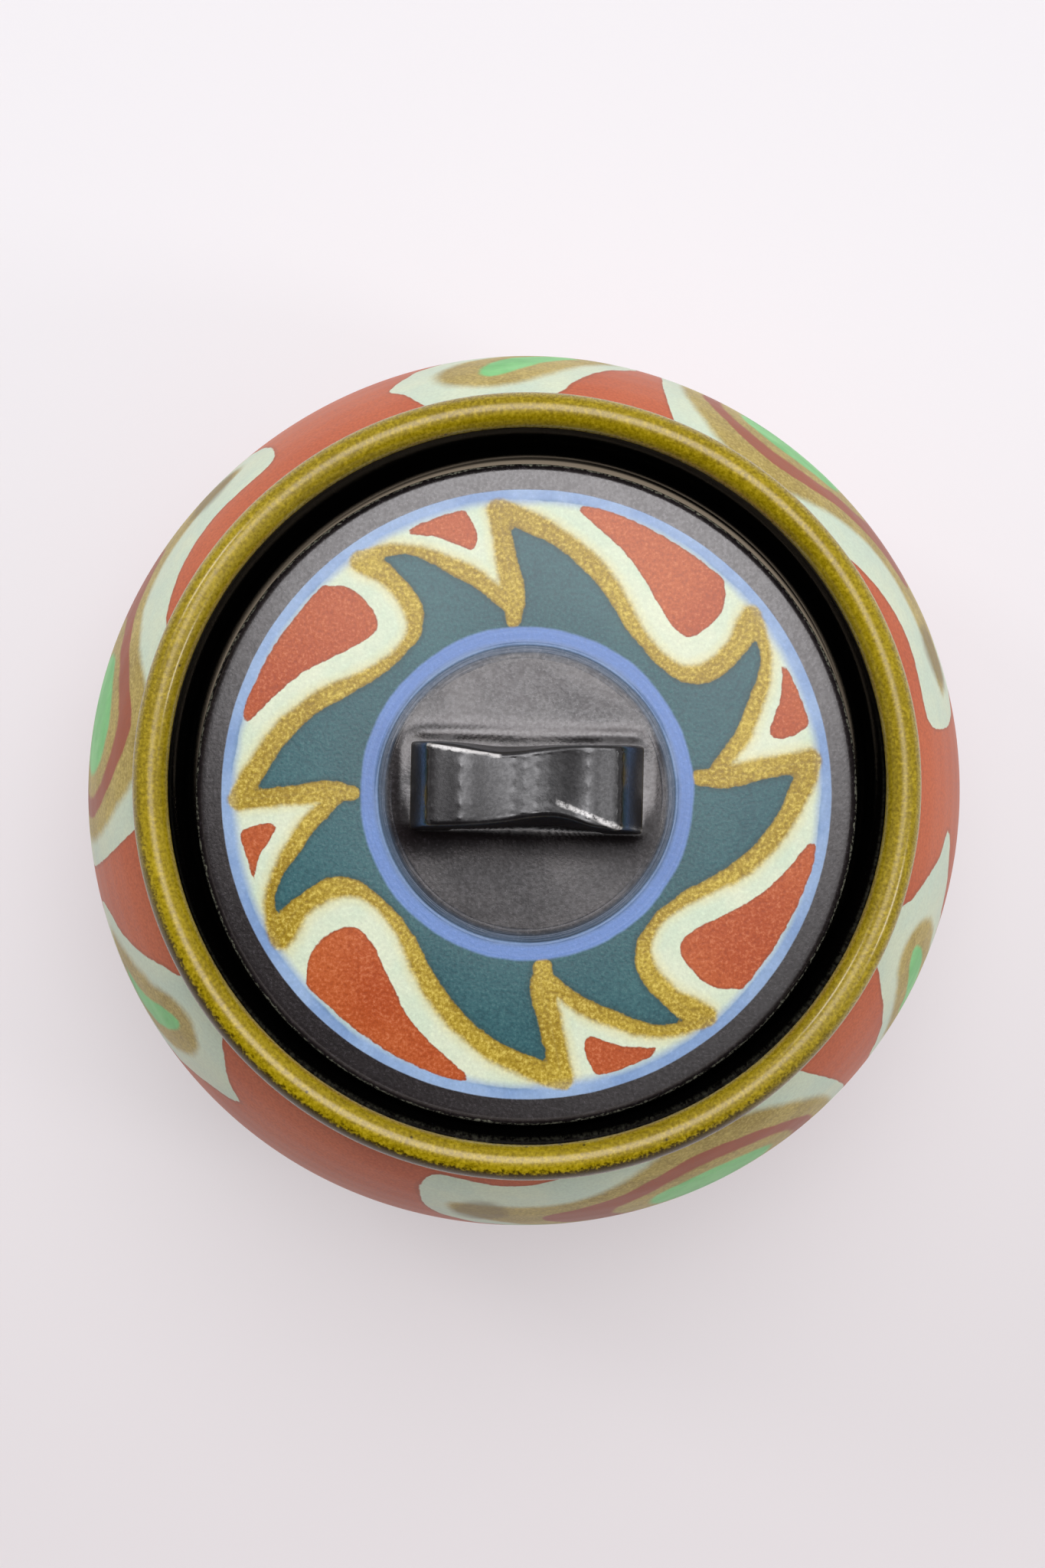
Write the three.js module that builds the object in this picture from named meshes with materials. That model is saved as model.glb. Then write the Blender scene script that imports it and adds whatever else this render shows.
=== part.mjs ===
// A squat, round, glazed earthenware jar with a sunken lift-off lid and a bridge handle on the lid.
// Millimetres, +Z up. The origin is the centre of the foot ring's resting face.
// The long way of the handle runs along X.
import * as THREE from "three";

// ---- driving dimensions of the pot ----
const bellyRadius = 65; // widest outside radius
const bellyHeight = 42; // height of the widest place
const wall = 4.6; // fired wall thickness of the belly
const rimHeight = 86; // top of the rolled rim
const beadRadius = 2.4; // half thickness of the rolled rim
const rimRadius = 52.6; // centre line of the rolled rim
const collarRadius = 53.4; // short upright collar under the rim
const collarFoot = 77; // where the shoulder meets the collar
const footRadius = 41.6; // outside of the foot ring
const footWidth = 5.6; // foot ring, outside to inside
const footHeight = 4; // foot ring below the belly
const baseRecess = 3; // the base inside the foot ring stands this far off the table
const floorHeight = 7.2; // floor of the hollow inside
const seatHeight = 72; // ledge that the lid rests on
const ledgeThickness = 5;
const neckRadius = 43.4; // hole through the ledge
const wellRadius = 48.4; // bottom of the well round the lid

// ---- driving dimensions of the lid and its handle ----
const lidRadius = 46.9; // edge of the lid
const lidThickness = 5; // lid plate at its edge
const lidCrown = 1.9; // rise of the lid from its edge to the flat pad
const lidCeiling = 1.4; // hollow underside above the seat, at its edge
const padRadius = 21; // flat round pad under the handle
const padStep = 0.3; // the pad stands this far proud of the crown
const flangeRadius = 41.9; // locating ring under the lid
const flangeWidth = 3.2;
const flangeDepth = 6; // locating ring below the seat
const lidOffset = -1.05; // the loose lid lies this far off centre, along Y
const handleLength = 33.2; // over the feet of the handle
const handleWidth = 12.7; // across the feet
const handleHeight = 13.6; // above the pad
const handleOffset = 0.8; // the handle was put on this far from the lid's centre, along Y
const gapHalf = 10.4; // half the gap between the feet
const gapHeight = 7.4; // finger gap above the pad

// ---- common to the turned pieces ----
const facets = 56;
const ease = 0.5; // small easing of a turned edge
const degrees = Math.PI / 180;

// A stretch of an ellipse in a profile, from one angle to another, with both of its ends.
function ellipse(centreR, centreZ, radiusR, radiusZ, from, to, steps) {
  return Array.from({ length: steps + 1 }, (_, i) => {
    const angle = (from + ((to - from) * i) / steps) * degrees;
    return new THREE.Vector2(centreR + radiusR * Math.cos(angle), centreZ + radiusZ * Math.sin(angle));
  });
}

function point(r, z) {
  return new THREE.Vector2(r, z);
}

// Turns a closed profile of radius and height round the Z axis.
function turned(profile) {
  const shape = new THREE.LatheGeometry(profile, facets);
  shape.rotateX(90 * degrees);
  return shape;
}

// The angle at which an ellipse of this half height passes a height that is measured from its centre.
function angleAt(height, halfHeight) {
  return Math.asin(height / halfHeight) / degrees;
}

// ---- the pot: foot ring, belly, collar, rolled rim, well, ledge and hollow inside, fired as one piece ----
function potProfile() {
  const lowerCentre = 24; // the belly below its widest place is nearly a circle about this radius
  const upperCentre = 40; // the shoulder is a tighter ellipse about this radius
  const lowerHalf = 41; // half heights of the outside curves
  const upperHalf = 41.5;
  const innerLowerHalf = 36.8; // half heights of the curves of the hollow inside
  const innerUpperHalf = 32.5;
  const innerRadius = bellyRadius - wall;
  const beadHeight = rimHeight - beadRadius;
  const footInner = footRadius - footWidth;
  const footEase = 0.8;
  const wellSlope = 4; // the well flares a little above the seat
  const ledgeUnderside = seatHeight - ledgeThickness;
  return [
    point(0, baseRecess),
    point(footInner - 1.4, baseRecess),
    point(footInner - 0.4, baseRecess - footEase),
    point(footInner + 0.4, 0),
    point(footRadius - footEase, 0),
    point(footRadius, footEase),
    point(footRadius, footHeight - 0.4),
    ...ellipse(lowerCentre, bellyHeight, bellyRadius - lowerCentre, lowerHalf,
      angleAt(footHeight + footEase - bellyHeight, lowerHalf), 0, 11),
    ...ellipse(upperCentre, bellyHeight, bellyRadius - upperCentre, upperHalf,
      0, angleAt(collarFoot - bellyHeight, upperHalf), 9).slice(1),
    point(collarRadius, collarFoot + 0.8),
    point(collarRadius, beadHeight - beadRadius),
    ...ellipse(rimRadius, beadHeight, beadRadius, beadRadius, -45, 180, 9),
    point(wellRadius + ease, seatHeight + wellSlope),
    point(wellRadius, seatHeight + 1),
    point(wellRadius - 0.8, seatHeight),
    point(neckRadius + 0.6, seatHeight),
    point(neckRadius, seatHeight - 0.7),
    point(neckRadius, ledgeUnderside + 1.4),
    point(neckRadius + 1.2, ledgeUnderside),
    ...ellipse(upperCentre, bellyHeight, innerRadius - upperCentre, innerUpperHalf,
      angleAt(ledgeUnderside - bellyHeight, innerUpperHalf), 0, 6),
    ...ellipse(lowerCentre, bellyHeight, innerRadius - lowerCentre, innerLowerHalf,
      0, angleAt(floorHeight + 0.6 - bellyHeight, innerLowerHalf), 7).slice(1),
    point(lowerCentre + 6, floorHeight),
    point(0, floorHeight),
  ];
}

// ---- the lid: a low crowned plate with a flat pad on top and a locating ring underneath ----
const seatedEdge = seatHeight + lidThickness;
const padHeight = seatedEdge + lidCrown;

function lidProfile() {
  const flangeInner = flangeRadius - flangeWidth;
  const flangeFoot = seatHeight - flangeDepth;
  const ceiling = seatHeight + lidCeiling;
  const ceilingDome = 0.6; // the underside rises this much to its middle
  const seatEase = 0.9;
  const edgeRound = 2.3;
  const crownOuter = lidRadius - edgeRound;
  const crown = [0.25, 0.5, 0.75, 1].map((share) => {
    const reach = crownOuter - (crownOuter - padRadius) * share;
    return point(reach, seatedEdge + (lidCrown - padStep) * Math.sin(share * 90 * degrees));
  });
  return [
    point(0, ceiling + ceilingDome),
    point(flangeInner - 1, ceiling),
    point(flangeInner, ceiling - 1),
    point(flangeInner, flangeFoot + ease),
    point(flangeInner + ease, flangeFoot),
    point(flangeRadius - ease, flangeFoot),
    point(flangeRadius, flangeFoot + ease),
    point(flangeRadius, seatHeight),
    point(lidRadius - seatEase, seatHeight),
    point(lidRadius, seatHeight + seatEase),
    ...ellipse(crownOuter, seatedEdge - edgeRound, edgeRound, edgeRound, 0, 90, 4),
    ...crown,
    point(padRadius - ease, padHeight),
    point(0, padHeight),
  ];
}

// ---- the bridge handle: a bent strap with sloping legs, a low dip on top and a finger gap below ----

// The side view of the strap, with X along the handle and Y up from the pad.
function strapOutline() {
  const foot = handleLength / 2;
  const shoulder = foot - 3.8; // the legs lean in this far by the top
  const shoulderRound = 3;
  const shoulderLow = handleHeight - shoulderRound; // the shoulder's curve starts here
  const shoulderPull = handleHeight - 0.4; // and is drawn out to here
  const topEnd = handleHeight - 0.1; // the top where it meets the shoulder
  const hump = 7.5; // the two humps of the top are this far from the middle
  const humpPull = handleHeight + 0.1;
  const dip = 0.9; // the middle of the top lies this far below the humps
  const gapRound = 4.2; // rounding of the finger gap's upper corners
  const gapLean = 0.8; // the gap's sides lean in this far by its shoulder
  const gapShoulder = gapHeight - 3;
  const outline = new THREE.Shape();
  outline.moveTo(-gapHalf, 0);
  outline.lineTo(-foot, 0);
  outline.lineTo(-shoulder - 0.6, shoulderLow);
  outline.quadraticCurveTo(-shoulder, shoulderPull, -shoulder + shoulderRound, topEnd);
  outline.quadraticCurveTo(-hump, humpPull, 0, handleHeight - dip);
  outline.quadraticCurveTo(hump, humpPull, shoulder - shoulderRound, topEnd);
  outline.quadraticCurveTo(shoulder, shoulderPull, shoulder + 0.6, shoulderLow);
  outline.lineTo(foot, 0);
  outline.lineTo(gapHalf, 0);
  outline.lineTo(gapHalf - gapLean, gapShoulder);
  outline.quadraticCurveTo(gapHalf - 1.1, gapHeight - 0.2, gapHalf - gapRound, gapHeight);
  outline.lineTo(-gapHalf + gapRound, gapHeight);
  outline.quadraticCurveTo(-gapHalf + 1.1, gapHeight - 0.2, -gapHalf + gapLean, gapShoulder);
  outline.closePath();
  return outline;
}

// Half the width of the strap at a place along it and above the pad. A thumb hollow narrows its middle.
function strapHalfWidth(along, up) {
  const taper = 0.9; // lost from the foot to the top
  const hollowDepth = 1.8;
  const hollowReach = 6.5;
  const height = up / handleHeight;
  const hollow = hollowDepth * Math.exp(-((along / hollowReach) ** 2)) * height ** 1.5;
  return handleWidth / 2 - taper * height - hollow;
}

function strap() {
  const shape = new THREE.ExtrudeGeometry(strapOutline(), {
    depth: 2, steps: 2, curveSegments: 5, bevelEnabled: false,
  });
  shape.translate(0, 0, -1); // from -1 to 1 across, to be scaled by the half width
  const place = shape.getAttribute("position");
  for (let i = 0; i < place.count; i++) {
    const across = place.getZ(i) * strapHalfWidth(place.getX(i), place.getY(i));
    place.setZ(i, across);
  }
  shape.rotateX(90 * degrees);
  return shape;
}

// ---- finishes ----
const paintedGlaze = new THREE.MeshStandardMaterial({ color: 0xb5573a, roughness: 0.42, metalness: 0 });
const lidGlaze = new THREE.MeshStandardMaterial({ color: 0x3d6068, roughness: 0.4, metalness: 0 });
const blackGlaze = new THREE.MeshStandardMaterial({ color: 0x1c191b, roughness: 0.2, metalness: 0 });

function piece(name, geometry, material) {
  const mesh = new THREE.Mesh(geometry, material);
  mesh.name = name;
  return mesh;
}

const jar = new THREE.Group();
jar.add(piece("pot", turned(potProfile()), paintedGlaze));

const cover = new THREE.Group();
cover.position.y = lidOffset;
cover.add(piece("lid", turned(lidProfile()), lidGlaze));
const handle = piece("lid_handle", strap(), blackGlaze);
handle.position.set(0, handleOffset, padHeight);
cover.add(handle);
jar.add(cover);

export default jar;
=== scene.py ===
"""A squat glazed earthenware jar: painted belly, olive rolled rim, black well, and a painted lid
with a bridge handle that sits down in the well. Metres, +Z up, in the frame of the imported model.
Shapes and patterns are drawn in millimetres and degrees and scaled once, when a mesh is made."""

import math

import bmesh
import bpy
import numpy as np
from mathutils import Matrix, Vector


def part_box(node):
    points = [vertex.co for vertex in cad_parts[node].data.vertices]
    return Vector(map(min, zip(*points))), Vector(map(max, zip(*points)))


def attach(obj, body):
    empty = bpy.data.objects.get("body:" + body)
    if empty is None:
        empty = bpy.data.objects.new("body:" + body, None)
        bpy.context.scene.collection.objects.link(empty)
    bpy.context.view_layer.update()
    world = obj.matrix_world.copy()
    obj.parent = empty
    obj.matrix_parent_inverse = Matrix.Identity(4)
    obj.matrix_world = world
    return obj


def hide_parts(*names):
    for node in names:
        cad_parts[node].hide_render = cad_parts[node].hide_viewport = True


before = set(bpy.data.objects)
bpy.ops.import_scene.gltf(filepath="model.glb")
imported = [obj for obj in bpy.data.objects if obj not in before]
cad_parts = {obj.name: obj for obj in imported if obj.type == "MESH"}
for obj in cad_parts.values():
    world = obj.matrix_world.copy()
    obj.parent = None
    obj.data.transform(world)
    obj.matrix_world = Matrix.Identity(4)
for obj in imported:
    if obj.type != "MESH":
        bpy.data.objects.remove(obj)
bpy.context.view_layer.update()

MM = 0.001
FAR_OFF = 9.0  # a distance to a painted shape, in mm, past which it doesn't matter

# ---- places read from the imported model, in mm ----
pot_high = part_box("pot")[1]
lid_low, lid_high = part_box("lid")
handle_low, handle_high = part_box("lid_handle")
BELLY_RADIUS = pot_high.x / MM
RIM_TOP = pot_high.z / MM
LID_RADIUS = lid_high.x / MM
LID_Y = (lid_low.y + lid_high.y) / 2 / MM
PAD_TOP = lid_high.z / MM
LID_FOOT = lid_low.z / MM
HANDLE_HALF = handle_high.x / MM
HANDLE_RISE = (handle_high.z - handle_low.z) / MM
HANDLE_HALF_WIDTH = (handle_high.y - handle_low.y) / 2 / MM
HANDLE_OFF = (handle_low.y + handle_high.y) / 2 / MM - LID_Y  # from the lid's centre, along Y
HANDLE_TURN = math.radians(-1.2)  # it was stuck on by hand, not quite square


# ======== shader helpers ========

def paint(code):
    """A colour for a shader from its usual six-digit code."""
    def linear(part):
        share = int(part, 16) / 255
        return share / 12.92 if share <= 0.04045 else ((share + 0.055) / 1.055) ** 2.4
    return (linear(code[0:2]), linear(code[2:4]), linear(code[4:6]), 1.0)


class Number:
    """The output of a shader node. Arithmetic on it adds Math nodes."""

    def __init__(self, finish, socket):
        self.finish, self.socket = finish, socket

    def _math(self, operation, first, second):
        return self.finish.node("ShaderNodeMath", {"operation": operation}, {0: first, 1: second})

    def __add__(self, other):
        return self._math("ADD", self, other)

    __radd__ = __add__

    def __sub__(self, other):
        return self._math("SUBTRACT", self, other)

    def __rsub__(self, other):
        return self._math("SUBTRACT", other, self)

    def __mul__(self, other):
        return self._math("MULTIPLY", self, other)

    __rmul__ = __mul__

    def size(self):
        """How large it is, whatever its sign."""
        return self.finish.node("ShaderNodeMath", {"operation": "ABSOLUTE"}, {0: self})

    def least(self, other):
        return self._math("MINIMUM", self, other)

    def most(self, other):
        return self._math("MAXIMUM", self, other)


class Nodes:
    """Adds nodes to one shader tree."""

    def __init__(self, tree):
        self.tree = tree

    def node(self, kind, settings, sockets, output=0):
        """Adds a node: its settings first, then a value or a link for each named socket."""
        made = self.tree.nodes.new(kind)
        for setting, value in settings.items():
            setattr(made, setting, value)
        for socket, value in sockets.items():
            self.put(made.inputs[socket], value)
        return Number(self, made.outputs[output])

    def put(self, socket, value):
        if isinstance(value, Number):
            self.tree.links.new(value.socket, socket)
        else:
            socket.default_value = value

    def step(self, value, low, high):
        """0 below low and 1 above high, with a soft rise between them."""
        return self.node("ShaderNodeMapRange", {"interpolation_type": "SMOOTHSTEP"}, {
            "Value": value, "From Min": low, "From Max": high})

    def band(self, value, start, full, fade, end):
        """0 up to start, 1 from full to fade, and 0 again from end."""
        return self.step(value, start, full) * (1 - self.step(value, fade, end))


class Finish(Nodes):
    """One material, built round a Principled shader."""

    def __init__(self, name, **uniform):
        self.material = bpy.data.materials.new(name)
        self.material.use_nodes = True
        super().__init__(self.material.node_tree)
        self.tree.nodes.clear()
        self.shader = self.tree.nodes.new("ShaderNodeBsdfPrincipled")
        output = self.tree.nodes.new("ShaderNodeOutputMaterial")
        self.tree.links.new(self.shader.outputs[0], output.inputs[0])
        self.feed(**uniform)
        self.at = self.node("ShaderNodeTexCoord", {}, {}, "Object")

    def feed(self, **sockets):
        for socket, value in sockets.items():
            self.put(self.shader.inputs[socket.replace("_", " ")], value)

    def read(self, name):
        """A number that was worked out for each vertex of the piece."""
        return self.node("ShaderNodeAttribute", {"attribute_name": name}, {}, "Fac")

    def grain(self, size, detail=2.0, roughness=0.5):
        """Cloudy noise from 0 to 1 whose blots are about this many mm across."""
        return self.noise(self.at, 0.55 / (size * MM), detail, roughness)

    def noise(self, vector, scale, detail=3.0, roughness=0.6):
        return self.node("ShaderNodeTexNoise", {"normalize": True}, {
            "Vector": vector, "Scale": scale, "Detail": detail, "Roughness": roughness})

    def mix(self, share, first, second):
        """The first colour where share is 0 and the second where it is 1."""
        return self.node("ShaderNodeMix", {"data_type": "RGBA"}, {0: share, 6: first, 7: second}, 2)

    def shade(self, colour, amount):
        """A colour made lighter or darker by a factor round 1."""
        return self.node("ShaderNodeVectorMath", {"operation": "SCALE"}, {0: colour, "Scale": amount})

    def bump(self, height, depth, over=None):
        """A normal from a height of 0 to 1 that stands for this many mm, laid over a finer one."""
        sockets = {"Strength": 1.0, "Distance": depth * MM, "Height": height}
        if over:
            sockets["Normal"] = over
        return self.node("ShaderNodeBump", {}, sockets)


class Glaze(Finish):
    """A fired glaze. All of them share a hand's slow wander, ragged edges and a fine speckle."""

    def __init__(self, name, rag_size=0.8, **uniform):
        super().__init__(name, **uniform)
        self.wander = self.grain(3.5, 3.0, 0.6)
        self.ragged = self.grain(rag_size, 3.0, 0.6)
        self.speck = self.grain(0.26, 2.0, 0.6)

    def mottled(self, blots, first, second):
        """One colour running into another in blots."""
        return self.mix(self.step(blots, 0.3, 0.7), paint(first), paint(second))

    def flecked(self, colour, share, light, low=0.45, high=0.75):
        """Adds light grains to a colour."""
        return self.mix(self.step(self.speck, low, high) * share, colour, paint(light))

    def pitted(self, colour, share, dark):
        """Adds dark grains to a colour."""
        return self.mix((1 - self.step(self.speck, 0.3, 0.5)) * share, colour, paint(dark))

    def inside(self, name, soft, rag, wobble=0.5):
        """1 inside a painted shape and 0 outside it, with a hand-painted edge."""
        edge = self.read(name) + (self.wander - 0.5) * wobble + (self.ragged - 0.5) * rag
        return 1 - self.step(edge, -soft, soft)

    def clay(self):
        """Bare buff earthenware."""
        return self.mix(self.step(self.speck, 0.25, 0.75), paint("b48a66"), paint("d2ad88"))


# ======== drawing helpers ========

def through(points, steps, closed=True):
    """A smooth curve through given points, with a few steps between each pair."""
    points = np.array(points, float)
    count = len(points)
    curve = []
    for i in range(count if closed else count - 1):
        if closed:
            p = points[[(i + k) % count for k in (-1, 0, 1, 2)]]
        else:
            p = points[[min(max(i + k, 0), count - 1) for k in (-1, 0, 1, 2)]]
        for t in np.arange(steps) / steps:
            curve.append(0.5 * (2 * p[1] + (p[2] - p[0]) * t
                                + (2 * p[0] - 5 * p[1] + 4 * p[2] - p[3]) * t * t
                                + (3 * p[1] - p[0] - 3 * p[2] + p[3]) * t ** 3))
    if not closed:
        curve.append(points[-1])
    return np.array(curve)


def off_outline(place, outline):
    """How far each place lies from a closed outline, negative inside it."""
    nearest = np.full(len(place), 1e9)
    inside = np.zeros(len(place), bool)
    for p, q in zip(outline, np.roll(outline, -1, 0)):
        run = q - p
        share = np.clip((place - p) @ run / max(run @ run, 1e-9), 0, 1)
        gap = place - p - share[:, None] * run
        nearest = np.minimum(nearest, np.hypot(gap[:, 0], gap[:, 1]))
        if p[1] != q[1]:
            spans = (p[1] > place[:, 1]) != (q[1] > place[:, 1])
            inside ^= spans & (place[:, 0] < run[0] * (place[:, 1] - p[1]) / run[1] + p[0])
    return np.where(inside, -nearest, nearest)


def off_stroke(place, stroke):
    """How far each place lies outside a brush stroke of varying half width, and where along it."""
    outside = np.full(len(place), 1e9)
    along = np.zeros(len(place))
    across = np.zeros(len(place))
    walked = 0.0
    for p, q in zip(stroke[:-1], stroke[1:]):
        run = q[:2] - p[:2]
        length = math.hypot(*run)
        share = np.clip((place - p[:2]) @ run / max(length * length, 1e-9), 0, 1)
        gap = place - p[:2] - share[:, None] * run
        reach = np.hypot(gap[:, 0], gap[:, 1]) - (p[2] + (q[2] - p[2]) * share)
        nearer = reach < outside
        outside = np.where(nearer, reach, outside)
        along = np.where(nearer, walked + share * length, along)
        across = np.where(nearer, (gap[:, 0] * run[1] - gap[:, 1] * run[0]) / max(length, 1e-9), across)
        walked += length
    return outside, along, across


def walked_along(points):
    """How far along a line each of its points lies."""
    return np.concatenate([[0], np.cumsum(np.hypot(*np.diff(np.array(points, float), axis=0).T))])


def resampled(points, spacing):
    """Points spread evenly along a line, about this far apart, with both its ends."""
    points = np.array(points, float)
    walk = walked_along(points)
    count = max(2, round(walk[-1] / spacing) + 1)
    at = np.linspace(0, walk[-1], count)
    return np.column_stack([np.interp(at, walk, points[:, k]) for k in (0, 1)])


def arc(centre, radii, start, end, count=24):
    """Points on an ellipse: 0 degrees is outwards and 90 is up."""
    angle = np.radians(np.linspace(start, end, count))
    return np.column_stack([centre[0] + radii[0] * np.cos(angle), centre[1] + radii[1] * np.sin(angle)])


def eased(corners):
    """A line through (radius, height, rounding) corners, with each corner rounded off."""
    line = []
    for i, (r, z, rounding) in enumerate(corners):
        here = np.array([r, z], float)
        if rounding == 0 or i in (0, len(corners) - 1):
            line.append(here)
            continue
        before = np.array(corners[i - 1][:2], float) - here
        after = np.array(corners[i + 1][:2], float) - here
        reach = min(rounding, 0.48 * np.hypot(*before), 0.48 * np.hypot(*after))
        first = here + before / np.hypot(*before) * reach
        last = here + after / np.hypot(*after) * reach
        for t in np.linspace(0, 1, 7):
            line.append((1 - t) ** 2 * first + 2 * t * (1 - t) * here + t * t * last)
    return np.array(line)


def joined(*stretches):
    """One profile from stretches of (points, spacing), without doubled points."""
    profile = []
    for points, spacing in stretches:
        for p in resampled(points, spacing):
            if not profile or np.hypot(*(p - profile[-1])) > 0.02:
                profile.append(p)
    return np.array(profile)


def stretch_ends(stretches):
    """How far along the joined profile each stretch ends."""
    return np.cumsum([walked_along(points)[-1] for points, _ in stretches])


def ramp(values, start, length):
    """0 up to start, then an even rise to 1 over this length."""
    return np.clip((values - start) / length, 0, 1)


# ======== mesh helpers ========

def turned(profile, steps, name):
    """Spins a profile of radius and height round Z, and keeps how far along it each vertex lies."""
    bm = bmesh.new()
    walked = bm.verts.layers.float.new("walk")
    chain = []
    for (r, z), far in zip(profile, walked_along(profile)):
        vert = bm.verts.new((r, 0, z))
        vert[walked] = far
        chain.append(vert)
    edges = [bm.edges.new(pair) for pair in zip(chain[:-1], chain[1:])]
    bmesh.ops.spin(bm, geom=chain + edges, cent=(0, 0, 0), axis=(0, 0, 1), dvec=(0, 0, 0),
                   angle=2 * math.pi, steps=steps, use_merge=True, use_duplicate=False)
    bmesh.ops.remove_doubles(bm, verts=bm.verts, dist=0.004)
    bmesh.ops.recalc_face_normals(bm, faces=bm.faces)
    mesh = bpy.data.meshes.new(name)
    bm.to_mesh(mesh)
    bm.free()
    return mesh


def places(mesh):
    spots = np.zeros(len(mesh.vertices) * 3)
    mesh.vertices.foreach_get("co", spots)
    return spots.reshape(-1, 3)


def round_and_out(spots):
    """The angle round Z, in degrees, and the radius of each vertex."""
    return np.degrees(np.arctan2(spots[:, 1], spots[:, 0])), np.hypot(spots[:, 0], spots[:, 1])


def swung(x, y, turn):
    """Places turned round Z."""
    cos, sin = math.cos(turn), math.sin(turn)
    return x * cos - y * sin, x * sin + y * cos


def numbers(mesh, name):
    values = np.zeros(len(mesh.vertices))
    mesh.attributes[name].data.foreach_get("value", values)
    return values


def note(mesh, name, values):
    """Keeps one number for each vertex under a name that a finish can read."""
    mesh.attributes.new(name, "FLOAT", "POINT").data.foreach_set("value", np.asarray(values, np.float32))


def settle(mesh, spots):
    """Writes the vertices back, from mm to metres."""
    mesh.vertices.foreach_set("co", (spots * MM).ravel())
    mesh.update()


def piece(name, mesh, finish, body, node):
    """Puts a finished mesh in the scene in place of its CAD node."""
    made = bpy.data.objects.new(name, mesh)
    bpy.context.scene.collection.objects.link(made)
    mesh.materials.append(finish.material)
    mesh.shade_smooth()
    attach(made, body)
    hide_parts(node)
    return made


# ======== the pot ========

BEAD = 2.5  # half thickness of the rolled rim
BEAD_AT = (52.7, RIM_TOP - BEAD)
BELLY_AT = 42.0  # height of the widest place
LOWER, UPPER = 24.0, 40.0  # centres of the lower and the upper curve of the belly
LOWER_RISE, UPPER_RISE = 41.0, 41.5  # half heights of those two curves
HOLLOW_LOWER_RISE, HOLLOW_UPPER_RISE = 36.8, 32.5  # and of the same two inside
WALL = 4.6
FOOT_RADIUS, FOOT_TOP = 41.6, 5.4
COLLAR_RADIUS, COLLAR_FOOT = 53.4, 77.0
SEAT = 72.0  # the ledge that the lid rests on
NECK = 43.4  # the hole through the ledge
LEDGE_FOOT = 66.0
FLOOR_EDGE, FLOOR = 7.8, 7.2  # the floor of the hollow, at its edge and in the middle


def curve_angle(height, rise):
    """Where a curve of the belly with this half height passes a height."""
    return math.degrees(math.asin((height - BELLY_AT) / rise))


BELLY = np.vstack([
    arc((LOWER, BELLY_AT), (BELLY_RADIUS - LOWER, LOWER_RISE), curve_angle(FOOT_TOP, LOWER_RISE), 0, 40),
    arc((UPPER, BELLY_AT), (BELLY_RADIUS - UPPER, UPPER_RISE), 0, curve_angle(COLLAR_FOOT, UPPER_RISE), 40)])


def pot_stretches():
    """The pot's profile, from the middle of its base outside to the middle of its floor inside."""
    foot = eased([(0, 3, 0), (34.4, 3, 1.6), (36.1, 0, 0.7), (FOOT_RADIUS, 0, 0.9), (FOOT_RADIUS, 4, 1.0),
                  (FOOT_RADIUS + 0.8, FOOT_TOP, 0)])
    bead = arc(BEAD_AT, (BEAD, BEAD), -45, 180, 40)
    collar = eased([(COLLAR_RADIUS + 0.05, COLLAR_FOOT, 0), (COLLAR_RADIUS, COLLAR_FOOT + 0.8, 0.4),
                    (COLLAR_RADIUS, 80.4, 0.8), (*bead[0], 0)])
    well = eased([(BEAD_AT[0] - BEAD, BEAD_AT[1], 0), (48.9, 76, 2.5), (48.3, SEAT, 1.2), (NECK, SEAT, 0.7),
                  (NECK, LEDGE_FOOT + 1, 1.2), (47.6, LEDGE_FOOT, 0)])
    hollow_radius = BELLY_RADIUS - WALL
    hollow = np.vstack([
        arc((UPPER, BELLY_AT), (hollow_radius - UPPER, HOLLOW_UPPER_RISE),
            curve_angle(LEDGE_FOOT, HOLLOW_UPPER_RISE), 0, 30),
        arc((LOWER, BELLY_AT), (hollow_radius - LOWER, HOLLOW_LOWER_RISE),
            0, curve_angle(FLOOR_EDGE, HOLLOW_LOWER_RISE), 30)])
    bottom = [(hollow[-1][0], FLOOR_EDGE), (30, FLOOR), (0, FLOOR)]
    return [(foot, 0.7), (BELLY, 1.1), (collar, 0.6), (bead, 0.42), (well, 0.8), (hollow, 2.4),
            (bottom, 4.0)]


POT_STRETCHES = pot_stretches()
FOOT_END, BELLY_END, COLLAR_END, BEAD_END = stretch_ends(POT_STRETCHES)[:4]


def out_of_true(spots, walk, angle, reach):
    """A thrown pot is never quite true: slow waves go round it, with faint rings from the fingers."""
    turn = np.radians(angle)
    height = spots[:, 2].copy()
    sway = 0.16 * np.sin(2 * turn + 0.6) + 0.09 * np.sin(3 * turn + height / 15) + 0.05 * np.sin(5 * turn)
    sway *= 1 - 0.7 * ramp(height, 70, 10)  # the rim was trued up last
    finger_rings = 0.03 * np.sin(walk * 1.35) * (1 - ramp(walk, BELLY_END - 8, 8))
    moved = 1 + (sway + finger_rings) * ramp(height, 3, 12) / np.maximum(reach, 20)
    spots[:, :2] *= moved[:, None]
    spots[:, 2] += 0.12 * np.sin(turn + 2.2) * ramp(height, 60, 20)


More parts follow.
